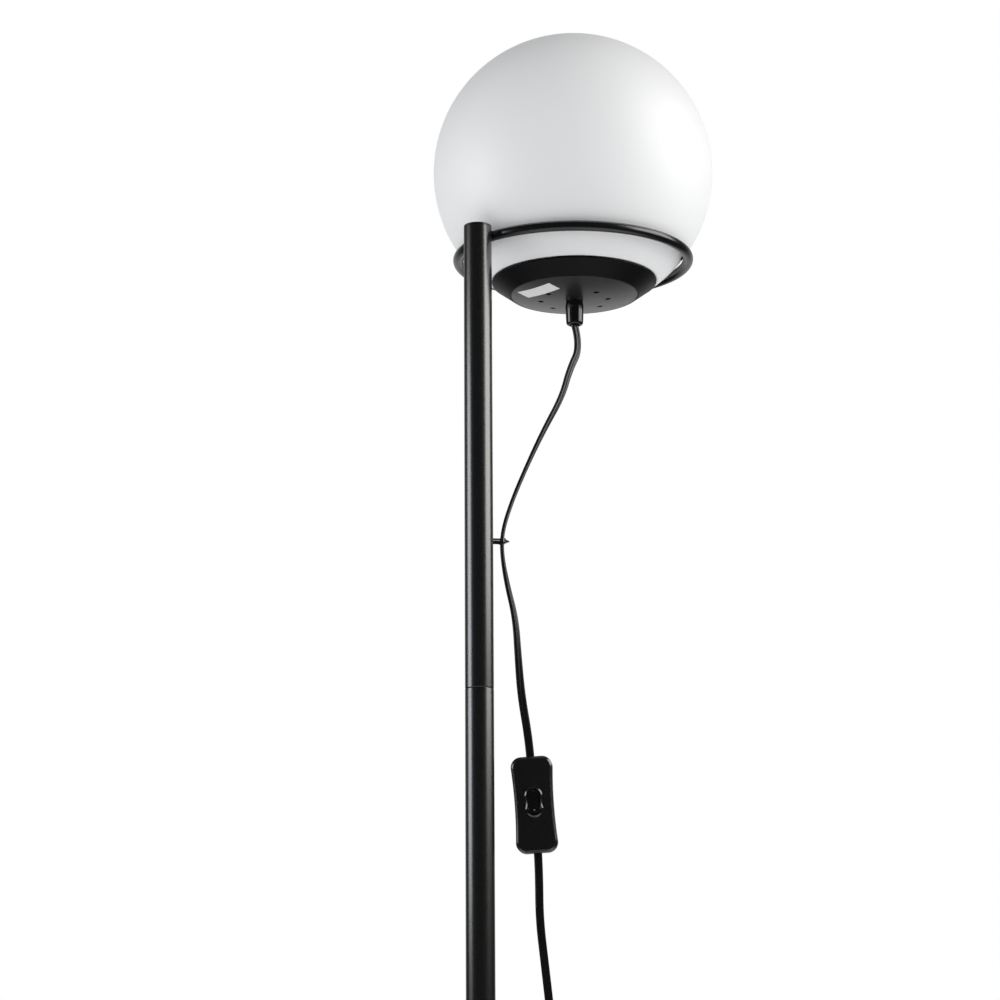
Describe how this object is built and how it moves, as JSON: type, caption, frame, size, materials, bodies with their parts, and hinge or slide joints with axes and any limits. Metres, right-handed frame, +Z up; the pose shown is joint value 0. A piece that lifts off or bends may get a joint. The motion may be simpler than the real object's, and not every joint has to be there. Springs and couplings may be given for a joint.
{
  "type": "floor lamp",
  "caption": "Floor lamp with an opal glass globe standing in a hoop beside a slim pole, a round weighted base, an inline rocker switch and a flat plug.",
  "frame": {"origin": "where the pole's axis meets the floor, in the middle of the base's underside", "axes": "+Z up along the pole, +X from the pole towards the globe, +Y to the left of +X seen from above"},
  "size_m": [0.3727, 0.26, 1.5],
  "materials": {
    "black_paint": "satin black powder coat",
    "cast_iron": "rough cast, dark primer",
    "black_rubber": "matte black rubber or foam",
    "zinc_steel": "zinc-plated steel",
    "opal_glass": "satin opal white glass, not clear",
    "opal_plastic": "milky diffuser plastic",
    "white_plastic": "plain white",
    "aluminium": "bare aluminium board",
    "nickel_brass": "nickel-plated brass",
    "brass": "bare brass",
    "black_plastic": "fine satin black moulding",
    "gloss_black": "glossy black moulding",
    "cord_sheath": "smooth black PVC sheath"
  },
  "bodies": {
    "stand": {"base_bolt": "zinc_steel", "base_cover": "black_paint", "base_pad": "black_rubber", "base_washer": "zinc_steel", "base_weight": "cast_iron", "cord_clamps": "black_plastic", "cord_clip": "black_plastic", "cord_coil": "cord_sheath", "cord_lower": "cord_sheath", "cord_upper": "cord_sheath", "plug_body": "black_plastic", "plug_pins": "nickel_brass", "plug_relief": "black_plastic", "plug_sleeves": "black_plastic", "pole_foot_insert": "zinc_steel", "pole_lower": "black_paint", "pole_middle": "black_paint", "pole_socket_high": "zinc_steel", "pole_socket_low": "zinc_steel", "pole_stud_high": "zinc_steel", "pole_stud_low": "zinc_steel", "pole_top_cap": "black_paint", "pole_upper": "black_paint", "ring_rests": "black_rubber", "ring_saddle": "black_paint", "rocker_cradle": "black_plastic", "support_ring": "black_paint", "switch_back": "black_plastic", "switch_contacts": "brass", "switch_cord_ends": "cord_sheath", "switch_front": "black_plastic", "switch_screws": "zinc_steel"},
    "head": {"glass_globe": "opal_glass", "cap_shell": "black_paint", "cap_disc": "black_paint", "cap_gasket": "black_rubber", "blank_label": "white_plastic", "clamp_bridge": "zinc_steel", "bridge_pads": "black_rubber", "threaded_nipple": "zinc_steel", "nipple_nut": "zinc_steel", "cord_gland": "gloss_black", "gland_screw": "zinc_steel", "cord_end": "cord_sheath", "holder_leads": "cord_sheath", "holder_base": "black_plastic", "holder_core": "black_plastic", "holder_shell": "black_plastic", "holder_thread": "brass", "holder_contacts": "brass", "terminal_screws": "zinc_steel", "bulb_contact": "brass", "bulb_cap": "nickel_brass", "bulb_housing": "white_plastic", "led_board": "aluminium", "bulb_dome": "opal_plastic"},
    "rocker": {"switch_rocker": "gloss_black", "rocker_contact": "brass"}
  },
  "joints": [
    {"name": "globe_swivel", "type": "hinge", "parent": "stand", "child": "head", "pos_m": [0.1127, 0, 1.38], "axis": [0, 0, 1], "range_deg": [-60, 60]},
    {"name": "rocker_tilt", "type": "hinge", "parent": "stand", "child": "rocker", "pos_m": [0.05448, -0.00528, 0.8321], "axis": [0.6919, -0.7193, 0.0621], "range_deg": [0, 14]}
  ]
}
